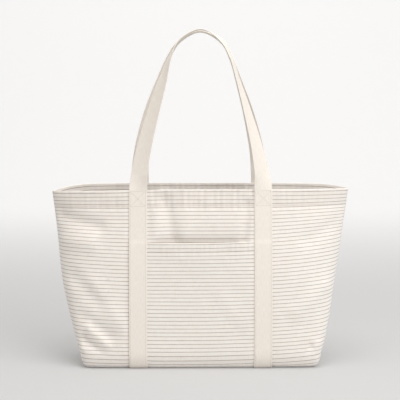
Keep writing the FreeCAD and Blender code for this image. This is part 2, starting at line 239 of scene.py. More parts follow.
class Wall:
    """A panel's wall as a smooth surface over its cloth: across it, and along it from the base seam."""

    def __init__(self, side):
        self.side = side
        self.across = np.linspace(-HALF_CLOTH, HALF_CLOTH, 83)
        self.runs = np.concatenate([
            np.linspace(BASE_RUN, ROLL_END, 6)[:-1], np.linspace(ROLL_END, RIM_RUN, 46)])
        rows = []
        for run in self.runs:
            x, y, z = quarter_ring(side, run, np.abs(self.across))
            ring = np.stack([np.sign(self.across) * x, SIGN[side] * y, np.full_like(x, z)], axis=-1)
            rows.append(settle(side, ring, self.across))
        self.points = np.array(rows)

    def bare(self, across, run):
        """Points on the wall before its folds and puckers."""
        columns = np.interp(across, self.across, np.arange(len(self.across)))
        rows = np.interp(run, self.runs, np.arange(len(self.runs)))
        knots_c, weights_c = cubic_weights(columns, len(self.across))
        knots_r, weights_r = cubic_weights(rows, len(self.runs))
        near = self.points[knots_r[..., :, None], knots_c[..., None, :]]
        return np.einsum("...i,...j,...ijk->...k", weights_r, weights_c, near)

    def outwards(self, across, run):
        step = 2 * MM
        a = self.bare(across + step, run) - self.bare(across - step, run)
        b = self.bare(across, run + step) - self.bare(across, run - step)
        normal = np.cross(a, b) if self.side == "front" else np.cross(b, a)
        return unit(normal)

    def at(self, across, run):
        """Points on the cloth's outer face, with its folds and puckers."""
        lift = relief(self.side, across, run)
        return self.bare(across, run) + self.outwards(across, run) * lift[..., None]


def off_straps(across, margin=14 * MM):
    """0 under the straps and 1 well clear of them, since the webbing holds the cloth flat."""
    return smooth(WEB_WIDTH * 0.46, WEB_WIDTH * 0.46 + margin, np.abs(np.abs(across) - WEB_X))


def waves(across, seed, lengths):
    """An uneven wave: sines of several lengths, with phases from a seed."""
    picker = random.Random(seed)
    total = 0
    for length in lengths:
        phase, share = picker.uniform(0, 2 * math.pi), picker.uniform(0.6, 1.0)
        total = total + share * np.sin(2 * math.pi * across / length + phase)
    return total / len(lengths)


def drift(across, run, seed, shortest=60 * MM, longest=190 * MM, count=9):
    """A broad unevenness: plane waves in all directions, their height in proportion to their length."""
    picker = random.Random(seed)
    total = 0
    for _ in range(count):
        length = picker.uniform(shortest, longest)
        way = picker.uniform(0, math.pi)
        phase = picker.uniform(0, 2 * math.pi)
        total = total + length / longest * np.sin(
            2 * math.pi * (across * math.cos(way) + run * math.sin(way)) / length + phase)
    return total / math.sqrt(count)


def fold(across, run, start, end, width, height):
    """A soft ridge between two places, or a hollow if its height is less than 0.

    A place is its distance across and its height above the floor.
    """
    a = np.array([start[0], cloth_height(start[1])])
    b = np.array([end[0], cloth_height(end[1])])
    line = b - a
    share = np.clip(((across - a[0]) * line[0] + (run - a[1]) * line[1]) / (line @ line), 0, 1)
    away = np.hypot(across - a[0] - share * line[0], run - a[1] - share * line[1])
    return height * np.exp(-((away / width) ** 2))


# The start and end of each fold as (across, height above the floor), then its width and how far it
# stands out, all in millimetres.
FOLDS = {
    "front": (
        ((-72, 350), (-58, 272), 13, -2.6),
        ((-92, 340), (-96, 280), 12, 1.6),
        ((-30, 330), (-34, 285), 16, 1.2),
        ((99, 345), (90, 272), 9, -2.2),
        ((112, 300), (110, 200), 9, 1.0),
        ((-300, 322), (-215, 300), 15, -3.0),
        ((-292, 270), (-230, 262), 18, 2.2),
        ((-262, 190), (-205, 140), 17, -2.2),
        ((-222, 180), (-166, 96), 17, 1.9),
        ((-240, 110), (-190, 70), 14, -1.7),
        ((-246, 62), (-205, 30), 8, -3.4),
        ((-250, 40), (-222, 12), 5, 2.6),
        ((-235, 88), (-196, 52), 9, 2.0),
        ((285, 300), (225, 270), 16, -1.6),
        ((262, 170), (200, 120), 18, 1.8),
        ((233, 46), (216, 5), 6, -2.6),
        ((250, 52), (238, 8), 6, 1.6),
    ),
    "back": (
        ((-80, 350), (-60, 240), 15, -2.6),
        ((60, 345), (84, 250), 14, -2.4),
        ((-290, 310), (-215, 285), 16, -2.6),
        ((295, 300), (205, 250), 18, -2.8),
        ((-250, 150), (-190, 90), 16, 2.4),
        ((248, 140), (195, 70), 15, 2.4),
        ((-10, 120), (40, 70), 20, -1.8),
        ((240, 60), (205, 25), 8, -2.8),
    ),
}


def relief(side, across, run):
    """Small ridges and hollows of the cloth: the puckered hem, soft folds, and the give of canvas."""
    seed = 3 if side == "front" else 8
    below_rim = RIM_RUN - run
    free = off_straps(across)
    ends = smooth(HALF_CLOTH, HALF_CLOTH - 22 * MM, np.abs(across))
    under_row = hump(below_rim, HEM, 6 * MM)
    in_hem = smooth(HEM * 1.35, HEM * 0.95, below_rim)
    pucker = waves(across, seed, (11.5 * MM, 17 * MM, 26 * MM, 41 * MM))
    small = waves(across, seed + 1, (7 * MM, 9.5 * MM))
    # the straps hold the hem between them, so it puckers most there and less out on the wings
    held = 0.42 + 0.58 * smooth(WEB_X + 6 * MM, WEB_X - 6 * MM, np.abs(across))
    lift = in_hem * pucker * held * 1.7 * MM + under_row * (small * 0.35 * MM - 0.55 * MM)
    lift = lift * ends * off_straps(across, 6 * MM)
    clear = free * ends * smooth(0, 12 * MM, below_rim)
    clear = clear * smooth(ROLL_END - 8 * MM, ROLL_END + 20 * MM, run)
    if side == "front":
        behind_pocket = smooth(POCKET_HALF + 5 * MM, POCKET_HALF - 10 * MM, np.abs(across))
        clear = clear * (1 - behind_pocket * smooth(MOUTH_RUN, MOUTH_RUN - 25 * MM, run))
        # the wall gives way a little where the pocket's mouth stands off it
        between = smooth(STRAP_INNER, STRAP_INNER - 45 * MM, np.abs(across))
        lift = lift - between * hump(run, MOUTH_RUN - 4 * MM, 26 * MM) * 3.5 * MM
        # and it is drawn in sharply just above the lip, in its shadow
        lift = lift - between * hump(run, MOUTH_RUN - 1 * MM, 8 * MM) * 3.0 * MM
    soft = drift(across, run, seed + 2) * 1.1 * MM
    soft = soft + drift(across, run, seed + 4, 22 * MM, 60 * MM) * 0.16 * MM
    for start, end, width, height in FOLDS[side]:
        start, end = np.array(start) * MM, np.array(end) * MM
        soft = soft + fold(across, run, start, end, width * MM, 1.75 * height * MM)
    return lift + clear * soft


# ------ meshes


def clean_slate():
    bpy.ops.object.select_all(action="DESELECT")


def object_from(name, vertices, faces, uv=None):
    mesh = bpy.data.meshes.new(name)
    mesh.from_pydata([tuple(map(float, v)) for v in vertices], [], faces)
    if uv is not None:
        layer = mesh.uv_layers.new(name="cloth")
        for loop in mesh.loops:
            layer.data[loop.index].uv = uv[loop.vertex_index]
    mesh.update()
    made = bpy.data.objects.new(name, mesh)
    bpy.context.scene.collection.objects.link(made)
    return made


def sheet_from(name, points, uv, closed=False):
    """A sheet of quads through rows of points, with places on the flat cloth as its UV map."""
    rows, columns = points.shape[:2]
    faces = []
    for r in range(rows - 1):
        low, high = r * columns, (r + 1) * columns
        for c in range(columns - (0 if closed else 1)):
            d = (c + 1) % columns
            faces.append((low + c, low + d, high + d, high + c))
    return object_from(name, points.reshape(-1, 3), faces, uv.reshape(-1, 2))


def pick(piece):
    """Selects one piece and nothing else."""
    clean_slate()
    bpy.context.view_layer.objects.active = piece
    piece.select_set(True)


def thicken(piece, thickness):
    """Gives a sheet its thickness, inwards from its outer face."""
    solid = piece.modifiers.new("Thickness", "SOLIDIFY")
    solid.thickness = thickness
    solid.offset = -1.0
    solid.use_even_offset = False
    pick(piece)
    bpy.ops.object.modifier_apply(modifier=solid.name)
    clean_slate()


def shade_smooth(piece, angle=50):
    pick(piece)
    bpy.ops.object.shade_smooth_by_angle(angle=math.radians(angle))
    clean_slate()


def merge_close(piece):
    """Joins the parts of a sheet where their edges meet."""
    shape = bmesh.new()
    shape.from_mesh(piece.data)
    bmesh.ops.remove_doubles(shape, verts=shape.verts, dist=0.05 * MM)
    shape.to_mesh(piece.data)
    shape.free()


def joined(name, pieces):
    clean_slate()
    for piece in pieces:
        piece.select_set(True)
    bpy.context.view_layer.objects.active = pieces[0]
    bpy.ops.object.join()
    clean_slate()
    pieces[0].name = name
    pieces[0].data.name = name
    return pieces[0]


# ------ panels


def base_patch(wall, across, rows):
    """The half of the base that is one piece with the wall, from the corner seams to the middle seam.

    Its edges follow the wall's lowest ring; the ends of the wall are sewn to its short sides.
    """
    ring = wall.bare(across, np.full_like(across, BASE_RUN))
    step = np.abs(np.diff(ring, axis=0))
    corner = int(np.argmax(step[:, 0] > step[:, 1]))
    front = ring[corner:len(across) - corner]
    left, right = ring[:corner + 1][::-1], ring[len(across) - corner - 1:]
    t = np.linspace(0, 1, rows)
    side_t = np.linspace(0, 1, len(left))
    edges = [read_along(edge, side_t, t) for edge in (left, right)]
    s = np.linspace(0, 1, len(front))  # the share of the way from left to right, as t is inwards
    middle = edges[0][-1] + (edges[1][-1] - edges[0][-1]) * s[:, None]
    blend_t, blend_s = t[:, None, None], s[None, :, None]
    points = (1 - blend_t) * front[None] + blend_t * middle[None]
    points = points + (1 - blend_s) * edges[0][:, None] + blend_s * edges[1][:, None]
    corners = (
        (1 - blend_t) * (1 - blend_s) * front[0] + (1 - blend_t) * blend_s * front[-1]
        + blend_t * (1 - blend_s) * middle[0] + blend_t * blend_s * middle[-1]
    )
    kept = across[corner:len(across) - corner]
    return points - corners, np.stack(np.meshgrid(kept, BASE_RUN * (1 - t)), axis=-1)


def seam_flange(wall, hand, runs):
    """The seam allowance at one end of a panel, turned inwards to lie against the other panel's."""
    inwards = np.array([0, 0.4, 3, 6, SEAM_ALLOWANCE / MM]) * MM
    edge = wall.at(np.full_like(runs, hand * HALF_CLOTH), runs)
    edge[:, 1] = SIGN[wall.side] * SEAM_GAP
    strip = edge[:, None] - hand * inwards[None, :, None] * np.array([1.0, 0, 0])
    places = cut_place(*np.meshgrid(hand * (HALF_CLOTH + inwards), runs))
    return (strip, places) if hand > 0 else (strip[:, ::-1], places[:, ::-1])


def turned_over(wall, across, edge_run, laid):
    """The cloth's turn over the edge of a hem: rows of points, and their runs along the cloth."""
    turn = np.linspace(0, math.pi, 7)[1:]
    a, r = np.meshgrid(across, np.full(len(turn), edge_run - FOLD_START))
    over = laid(a, r) - wall.outwards(a, r) * (FOLD_ROUND * (1 - np.cos(turn)))[:, None, None]
    over[..., 2] += (FOLD_ROUND * np.sin(turn))[:, None]
    return over, edge_run - FOLD_START + FOLD_ROUND * turn


def make_panel(side, wall, finish):
    """One panel: half of the base, the wall, the hem turned in at the rim, and the seam allowances."""
    across = np.linspace(-HALF_CLOTH, HALF_CLOTH, 231)
    wall_runs = np.concatenate([
        np.linspace(BASE_RUN, ROLL_END, 14)[:-1],
        np.linspace(ROLL_END, RIM_RUN - HEM * 1.4, 84)[:-1],
        np.linspace(RIM_RUN - HEM * 1.4, RIM_RUN - FOLD_START, 26),
    ])
    seam = np.abs(across) > HALF_CLOTH - 0.1 * MM

    def laid(a, r):
        points = wall.at(a, r)
        points[:, seam, 1] = SIGN[side] * SEAM_GAP
        return points

    outside = laid(*np.meshgrid(across, wall_runs))
    over, over_runs = turned_over(wall, across, RIM_RUN, laid)
    hem_runs = RIM_RUN - FOLD_START - np.linspace(0, HEM - 2 * MM, 16)[1:]
    down_a, down_r = np.meshgrid(across, hem_runs)
    inside = wall.at(down_a, down_r) - wall.outwards(down_a, down_r) * 2 * FOLD_ROUND
    points = np.concatenate([outside, over, inside])
    runs = np.concatenate([wall_runs, over_runs, 2 * (RIM_RUN + FOLD_ROUND) - hem_runs])
    uv = np.stack(np.meshgrid(across, runs), axis=-1)
    uv[:len(wall_runs)] = cut_place(*np.meshgrid(across, wall_runs))
    pieces = [(points, uv), [part[::-1] for part in base_patch(wall, across, 26)]]
    pieces += [seam_flange(wall, hand, wall_runs[:-2]) for hand in (-1, 1)]
    # each panel is cut so that a stripe lies just below the rim: outside on the front panel, and on
    # the turned-in hem of the back panel
    first = RIM_RUN - 5 * MM if side == "front" else RIM_RUN + 2 * FOLD_ROUND + 6 * MM
    cut_from = np.array([0, 0.5 * STRIPE_PITCH - first % STRIPE_PITCH])
    flip = slice(None) if side == "front" else slice(None, None, -1)
    panel = joined(f"{side}_panel_cloth", [
        sheet_from(f"{side}_cloth_{n}", part[:, flip], uv[:, flip] + cut_from)
        for n, (part, uv) in enumerate(pieces)])
    merge_close(panel)
    thicken(panel, CLOTH)
    shade_smooth(panel)
    panel.data.materials.append(finish)
    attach(panel, "bag")
    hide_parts(f"{side}_panel")


# ------ webbing


def resample(points, step):
    """Evenly spaced points along a line."""
    length = length_along(points)
    count = max(2, int(round(length[-1] / step)) + 1)
    return read_along(points, length, np.linspace(0, length[-1], count))


def smooth_curve(knots, count):
    """A smooth curve through knots, by chord length."""
    knots = np.asarray(knots, float)
    chord = np.concatenate([[0], np.cumsum(np.sqrt(np.linalg.norm(np.diff(knots, axis=0), axis=1)))])
    tangents = np.gradient(knots, chord, axis=0)
    at = np.linspace(0, chord[-1], count)
    i = np.clip(np.searchsorted(chord, at) - 1, 0, len(knots) - 2)
    width = (chord[i + 1] - chord[i])[:, None]
    t = ((at - chord[i])[:, None]) / width
    return (
        (2 * t**3 - 3 * t**2 + 1) * knots[i] + (t**3 - 2 * t**2 + t) * width * tangents[i]
        + (-2 * t**3 + 3 * t**2) * knots[i + 1] + (t**3 - t**2) * width * tangents[i + 1]
    )


def leg_lift(side, run):
    """How far the middle of the webbing stands off the wall. On the front it lies over the pocket."""
    lift = WEB_THICK / 2 + 0.1 * MM
    if side == "front":
        step = smooth(MOUTH_RUN + 5 * MM, MOUTH_RUN - 3 * MM, run)
        lift = lift + step * CLOTH * 1.1
    return lift


def sewn_leg(side, wall, hand):
    """The middle line and the direction across, from the seam under the base up to the rim."""
    sign = SIGN[side]
    runs = np.linspace(BASE_RUN, RIM_RUN - FOLD_START, 110)
    across = np.full_like(runs, hand * WEB_X)
    lift = np.array([leg_lift(side, r) for r in runs])
    middle = wall.bare(across, runs) + wall.outwards(across, runs) * lift[:, None]
    middle[:, 2] = np.maximum(middle[:, 2], WEB_THICK / 2)
    half = WEB_WIDTH / 2
    over = unit(wall.bare(across + half, runs) - wall.bare(across - half, runs))
    ys = np.linspace(1.2 * MM, abs(middle[0, 1]), 12)[:-1]
    level = np.full_like(ys, WEB_THICK / 2)
    under = np.stack([np.full_like(ys, middle[0, 0]), sign * ys, level], axis=-1)
    over = np.concatenate([np.tile([1.0, 0, 0], (len(ys), 1)), over])
    return np.concatenate([under, middle]), over


def free_loop(side, left_foot, right_foot):
    """The middle line and direction across of the free loop, from the left leg to the right leg.

    The back loop stands a little wider than the front one, and a little lower.
    """
    sign = SIGN[side]
    foot_y = (left_foot[1] + right_foot[1]) / 2
    rise = APEX - RIM - (2 * MM if side == "back" else 0)
    bow = {-1: -9 * MM, 1: 5 * MM} if side == "back" else {}

    def knot(hand, out, up):
        x = hand * WEB_X * out + bow.get(hand, 0.0) * math.sin(math.pi * up)
        return (x, foot_y + (sign * APEX_Y - foot_y) * up, RIM + rise * up)

    knots = [knot(-1, out, up) for out, up in HANDLE_ROUTE] + [knot(0, 0, 1)]
    knots += [knot(1, out, up) for out, up in reversed(HANDLE_ROUTE)]
    line = resample(smooth_curve(knots, 400), 3.2 * MM)
    tangent = unit(np.gradient(line, axis=0))
    up = (line[:, 2] - RIM) / rise
    turn = np.zeros(len(line))
    for hand in ("left", "right"):
        shares, angles = np.transpose(LEG_TURN[f"{side}_{hand}"])
        here = line[:, 0] < 0 if hand == "left" else line[:, 0] >= 0
        turn[here] = np.interp(up[here], shares, np.radians(angles))
    for _ in range(12):
        turn[1:-1] = (turn[:-2] + 2 * turn[1:-1] + turn[2:]) / 4
    level = np.array([0.0, 1.0, 0.0])
    upright = unit(np.cross(level, tangent))
    across = upright * np.cos(turn)[:, None] + level * (sign * np.sin(turn))[:, None]
    return line, square_to(tangent, across)


def webbing_section():
    """The outline of the webbing: flat faces, and round selvedges a little fuller than them."""
    half, thick = WEB_WIDTH / 2, WEB_THICK / 2
    points = []
    flat = half - thick * 1.2
    for x in np.linspace(-flat, flat, 10):
        points.append((x, thick * (0.92 + 0.08 * smooth(0.6, 1.0, abs(x) / flat))))
    for a in np.radians(np.linspace(80, -80, 5)):
        points.append((flat + 1.2 * thick * math.cos(a), thick * math.sin(a)))
    return np.array(points + [(-x, -y) for x, y in points])


def ribbon(name, middle, across, section):
    """A band that carries its section along a line. Its UV map runs along it and round it."""
    tangent = unit(np.gradient(middle, axis=0))
    across = square_to(tangent, across)
    normal = np.cross(tangent, across)
    rings = middle[:, None] + across[:, None] * section[None, :, :1]
    rings = rings + normal[:, None] * section[None, :, 1:]
    uv = np.stack(np.meshgrid(section[:, 0], length_along(middle)), axis=-1)
    band = sheet_from(name, rings, uv, closed=True)
    shape = bmesh.new()
    shape.from_mesh(band.data)
    bmesh.ops.holes_fill(shape, edges=[e for e in shape.edges if e.is_boundary], sides=0)
    bmesh.ops.recalc_face_normals(shape, faces=shape.faces)
    for vertex in shape.verts:
        vertex.co.z = max(vertex.co.z, 0.0)
    shape.to_mesh(band.data)
    shape.free()
    shade_smooth(band, 60)
    return band


def make_webbing(side, wall, finish):
    """One side's webbing as one piece: its legs lie on the bag, and its loop stands up as the handle.
    """
    left, left_across = sewn_leg(side, wall, -1)
    right, right_across = sewn_leg(side, wall, 1)
    loop, loop_across = free_loop(side, left[-1], right[-1])
    # the loop's end points are left out, so that it starts clear of the rim
    middle = np.concatenate([left, loop[2:-2], right[::-1]])
    across = np.concatenate([left_across, loop_across[2:-2], -right_across[::-1]])
    # the turn at the rim is eased, so that the webbing bends and twists gently there
    for _ in range(30):
        near = (middle[:, 2] > RIM - 5 * MM) & (middle[:, 2] < RIM + 26 * MM)
        eased = middle.copy()
        eased[1:-1] = (middle[:-2] + 2 * middle[1:-1] + middle[2:]) / 4
        middle = np.where(near[:, None], eased, middle)
        turned = across.copy()
        turned[1:-1] = unit(across[:-2] + 2 * across[1:-1] + across[2:])
        across = np.where(near[:, None], turned, across)
    band = ribbon(f"{side}_webbing", middle, across, webbing_section())
    band.data.materials.append(finish)
    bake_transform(band)
    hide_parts(f"{side}_left_strap", f"{side}_right_strap", f"{side}_handle")


# ------ pocket


def pocket_gape(across, run):
    """How far the pocket stands off the wall: flat at its foot, open along the mouth."""
    climb = smooth(MOUTH_RUN - 150 * MM, MOUTH_RUN + 20 * MM, run)
    free = np.clip(1 - (across / STRAP_INNER) ** 2, 0, 1)
    uneven = 1 + 0.35 * waves(across, 21, (80 * MM, 130 * MM))
    return climb**2 * free * uneven * 7 * MM


def pocket_relief(across, run):
    """Small ridges and hollows of the pocket: its puckered hem and a few soft folds."""
    below = MOUTH_RUN - run
    hem = smooth(POCKET_HEM * 2.6, POCKET_HEM * 0.5, below)
    row = hump(below, POCKET_HEM, 5 * MM)
    ripple = waves(across, 31, (9 * MM, 13 * MM, 21 * MM))
    low = smooth(ROLL_END, ROLL_END + 30 * MM, run)
    soft = drift(across, run, 40) * 0.8 * MM + drift(across, run, 41, 20 * MM, 55 * MM) * 0.15 * MM
    soft = soft * low
    soft = soft + fold(across, run, (0.04, 0.16), (0.085, 0.1), 16 * MM, 1.4 * MM)
    soft = soft + fold(across, run, (-0.05, 0.22), (-0.07, 0.15), 14 * MM, -1.2 * MM)
    edge = hem * ripple * 0.55 * MM - row * 0.4 * MM
    return off_straps(across) * (edge + np.maximum(soft, -0.9 * MM) + 0.3 * MM)


def make_pocket(wall, finish):
    """The slip pocket: caught under both straps and in the base seam, and hemmed along its mouth."""
    half = POCKET_HALF - 3 * MM

    def face(a, r, depth=0.0):
        lift = CLOTH * 1.08 + pocket_gape(a, r) + pocket_relief(a, r) - depth
        # the mouth dips in the middle, and a little more on its left
        dip = 2.5 * MM * (1 - (a / half) ** 2) - 2 * MM * a / half
        run = np.maximum(r, BASE_RUN) - dip * smooth(MOUTH_RUN - 90 * MM, MOUTH_RUN, r)
        points = wall.bare(a, run) + wall.outwards(a, run) * lift[..., None]
        points[..., 1] += BASE_RUN - np.minimum(r, BASE_RUN)
        points[..., 2] = np.maximum(points[..., 2], 0.7 * MM)
        return points

    across = np.linspace(-half, half, 120)
    wall_runs = np.concatenate([
        np.linspace(BASE_RUN - 30 * MM, BASE_RUN, 6)[:-1],
        np.linspace(BASE_RUN, ROLL_END, 12)[:-1],
        np.linspace(ROLL_END, MOUTH_RUN - POCKET_HEM * 1.5, 60)[:-1],
        np.linspace(MOUTH_RUN - POCKET_HEM * 1.5, MOUTH_RUN - FOLD_START, 18),
    ])
    outside = face(*np.meshgrid(across, wall_runs))
    over, over_runs = turned_over(wall, across, MOUTH_RUN, face)
    hem_runs = MOUTH_RUN - FOLD_START - np.linspace(0, POCKET_HEM, 9)[1:]
    inside = face(*np.meshgrid(across, hem_runs), 2 * FOLD_ROUND)
    points = np.concatenate([outside, over, inside])
    runs = np.concatenate([wall_runs, over_runs, 2 * (MOUTH_RUN + FOLD_ROUND) - hem_runs])
    uv = np.stack(np.meshgrid(across, runs), axis=-1)
    # a stripe runs along the fold of the mouth, and lower down the cloth sags, so its stripes smile
    sag = (2.5 * (across / half) ** 2 + 1.5 * across / half) * MM
    uv[..., 1] += 0.5 * STRIPE_PITCH - (MOUTH_RUN - 2.8 * MM) % STRIPE_PITCH
    lower = smooth(MOUTH_RUN - 40 * MM, MOUTH_RUN - 160 * MM, wall_runs)
    uv[:len(wall_runs), :, 1] -= sag * lower[:, None]
    pocket = sheet_from("front_pocket_cloth", points, uv)
    thicken(pocket, CLOTH)
    shade_smooth(pocket)
    pocket.data.materials.append(finish)
    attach(pocket, "bag")
    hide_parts("front_pocket")
    return face


# ------ seam bindings


def tape_section(thick):
    """The outline of tape folded over a seam: two edges on one side, and a fold on the other."""
    half, rise = TAPE_WIDTH / 2, thick / 2
    upper = [(-half, rise * 0.8), (-half + 0.6 * MM, rise)]
    upper += [(0, rise * 0.94), (half - 1.4 * MM, rise * 0.94)]
    upper += [(half - rise + rise * math.sin(a), rise * math.cos(a)) for a in (0.35, 0.9, 1.45)]
    return np.array(upper + [(x, -y) for x, y in reversed(upper)])


def make_binding(node, line, across, thick, finish):
    """Tape along a line; across points from the seam to the seam's raw edges."""
    line = resample(line, 4 * MM)
    tape = ribbon(node.replace("_binding", "_tape"), line, across, tape_section(thick))
    tape.data.materials.append(finish)
    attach(tape, "bag")
    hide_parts(node)


def make_bindings(wall, finish):
    """The tape over each raw seam inside: the side seams, the corner seams and the base seam."""
    for hand, name in ((-1, "left"), (1, "right")):
        inwards = np.array([[-hand, 0.0, 0.0]])
        node = f"{name}_side_seam_binding"
        low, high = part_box(node)
        runs = np.linspace(cloth_height(low.z + ROLL_HEIGHT), cloth_height(high.z), 90)
        edge = wall.bare(np.full_like(runs, hand * HALF_CLOTH), runs)
        edge[:, 0] -= hand * (SEAM_ALLOWANCE - 3.5 * MM)
        edge[:, 1] = 0
        make_binding(node, edge, inwards, 3.6 * MM, finish)
        node = f"{name}_corner_seam_binding"
        low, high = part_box(node)
        x, z, short = (low.x + high.x) / 2 - hand * 7 * MM, (low.z + high.z) / 2, 9 * MM
        line = np.array([(x, low.y + short, z), (x, high.y - short, z)])
        make_binding(node, line, inwards, high.z - low.z, finish)
    low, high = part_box("base_seam_binding")
    z = (low.z + high.z) / 2
    line = np.array([(low.x + 10 * MM, 0, z), (high.x - 10 * MM, 0, z)])
    make_binding("base_seam_binding", line, np.array([[0.0, 1.0, 0.0]]), high.z - low.z, finish)


# ------ stitching


def model_stitch():
    """One stitch, along Y and lying on Z = 0: a short thread that dives at both ends."""
    clean_slate()
    bpy.ops.mesh.primitive_uv_sphere_add(
        segments=6, ring_count=5, radius=1, rotation=(math.pi / 2, 0, 0))
    stitch = bpy.context.object
    bpy.ops.object.transform_apply(location=False, rotation=True, scale=False)
    bpy.ops.transform.resize(value=(0.34 * MM, STITCH_LENGTH / 2, 0.3 * MM))
    bpy.ops.object.transform_apply(location=False, rotation=False, scale=True)
    bpy.ops.object.mode_set(mode="EDIT")
    bpy.ops.mesh.select_all(action="SELECT")
    bpy.ops.transform.translate(value=(0, 0, 0.12 * MM))
    bpy.ops.object.mode_set(mode="OBJECT")
    points = np.array([v.co[:] for v in stitch.data.vertices])
    # the ball's points and faces come in another order on each run, so both are sorted
    order = np.lexsort(points.T)
    rank = np.argsort(order).tolist()
    faces = [[rank[i] for i in face.vertices] for face in stitch.data.polygons]
    faces = sorted(face[face.index(min(face)):] + face[:face.index(min(face))] for face in faces)
    bpy.data.objects.remove(stitch)
    return points[order], faces


def stitch_places(points, normals):
    """Where the stitches of a row go, along a line on the cloth: points, directions and normals."""
    length = length_along(points)
    count = max(1, int(length[-1] / STITCH_PITCH))
    at = (np.arange(count) + 0.5) * length[-1] / count
    ends = [read_along(points, length, at + way * STITCH_LENGTH / 2) for way in (-1, 1)]
    ways = unit(ends[1] - ends[0])
    outs = square_to(ways, read_along(normals, length, at))
    return read_along(points, length, at), ways, outs


def make_stitching(node, rows, finish):
    """Rows of stitches as one piece. Each row is a line on a surface, and the normals along it."""
    shape, shape_faces = STITCH
    vertices, faces = [], []
    for points, normals in rows:
        for place, way, out in zip(*stitch_places(points, normals)):
            first = len(vertices) * len(shape)
            sideways = np.cross(way, out)
            vertices.append(
                place + shape[:, :1] * sideways + shape[:, 1:2] * way + shape[:, 2:] * out)
            faces += [tuple(first + i for i in face) for face in shape_faces]
    stitching = object_from(f"{node}_thread", np.concatenate(vertices), faces)
    for face in stitching.data.polygons:
        face.use_smooth = True
    stitching.data.materials.append(finish)
    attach(stitching, "bag")
    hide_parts(node)


def on_web(side, wall, hand, sideways, runs):
    """A line on the outer face of a sewn strap, and the normals along it."""
    across = np.full_like(runs, hand * WEB_X) + sideways
    normals = wall.outwards(across, runs)
    lift = np.array([leg_lift(side, r) for r in runs]) + WEB_THICK * 0.46
    return wall.bare(across, runs) + normals * lift[:, None], normals


def make_strap_stitching(side, wall, finish):
    """For each leg: the crossed box at its top, and a row along each edge."""
    for hand, name in ((-1, "left"), (1, "right")):
        node = f"{side}_{name}"
        low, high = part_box(f"{node}_box_stitching")
        half = BOX_WIDTH / 2
        bottom, top = cloth_height(low.z), cloth_height(high.z)
        corners = [(-half, bottom), (half, bottom), (half, top), (-half, top)]
        strokes = [(corners[k], corners[(k + 1) % 4]) for k in range(4)]
        strokes += [(corners[0], corners[2]), (corners[1], corners[3])]
        rows = []
        for (a, r), (b, q) in strokes:
            share = np.linspace(0, 1, 24)
            rows.append(on_web(side, wall, hand, a + (b - a) * share, r + (q - r) * share))
        make_stitching(f"{node}_box_stitching", rows, finish)
        runs = np.linspace(BASE_RUN + 12 * MM, bottom - 2 * MM, 120)
        inset = WEB_WIDTH / 2 - STITCH_INSET
        rows = [
            on_web(side, wall, hand, np.full_like(runs, edge), runs) for edge in (-inset, inset)]
        make_stitching(f"{node}_edge_stitching", rows, finish)


def make_hem_stitching(side, wall, finish):
    near_seam = HALF_CLOTH - 5 * MM
    spans = ((-near_seam, -STRAP_OUTER), (-STRAP_INNER, STRAP_INNER), (STRAP_OUTER, near_seam))
    rows = []
    for start, end in spans:
        across = np.linspace(start, end, 160)
        run = np.full_like(across, RIM_RUN - HEM + 2 * MM)
        rows.append((wall.at(across, run), wall.outwards(across, run)))
    make_stitching(f"{side}_hem_stitching", rows, finish)


def make_pocket_stitching(wall, face, finish):
    across = np.linspace(-STRAP_INNER, STRAP_INNER, 160)
    run = np.full_like(across, MOUTH_RUN - POCKET_HEM + 2 * MM)
    row = (face(across, run), wall.outwards(across, run))
    make_stitching("pocket_hem_stitching", [row], finish)


# ------ finishes


def linear(code):
    """An sRGB hex colour as a linear RGBA."""
    parts = [int(code[i:i + 2], 16) / 255 for i in (1, 3, 5)]
    return [c / 12.92 if c <= 0.04045 else ((c + 0.055) / 1.055) ** 2.4 for c in parts] + [1.0]


MATH, MIX, RANGE = "ShaderNodeMath", "ShaderNodeMix", "ShaderNodeMapRange"
NOISE, STRETCH, BUMP = "ShaderNodeTexNoise", "ShaderNodeMapping", "ShaderNodeBump"
SHADER, SURFACE = "ShaderNodeBsdfPrincipled", "ShaderNodeOutputMaterial"
MATT = {"Specular IOR Level": 0.25, "Sheen Weight": 0.12, "Sheen Roughness": 0.5}


def put(tree, kind, inputs=None, **settings):
    """Adds a node with its settings. An input takes a value, an output, or a node's first output."""
    made = tree.nodes.new(kind)
    for key, value in settings.items():
        setattr(made, key, value)
    for key, value in (inputs or {}).items():
        source = value.outputs[0] if isinstance(value, bpy.types.Node) else value
        if isinstance(source, bpy.types.NodeSocket):
            tree.links.new(source, made.inputs[key])
        else:
            made.inputs[key].default_value = source
    return made


def new_finish(name):
    finish = bpy.data.materials.new(name)
    finish.use_nodes = True
    finish.node_tree.nodes.clear()
    return finish, finish.node_tree


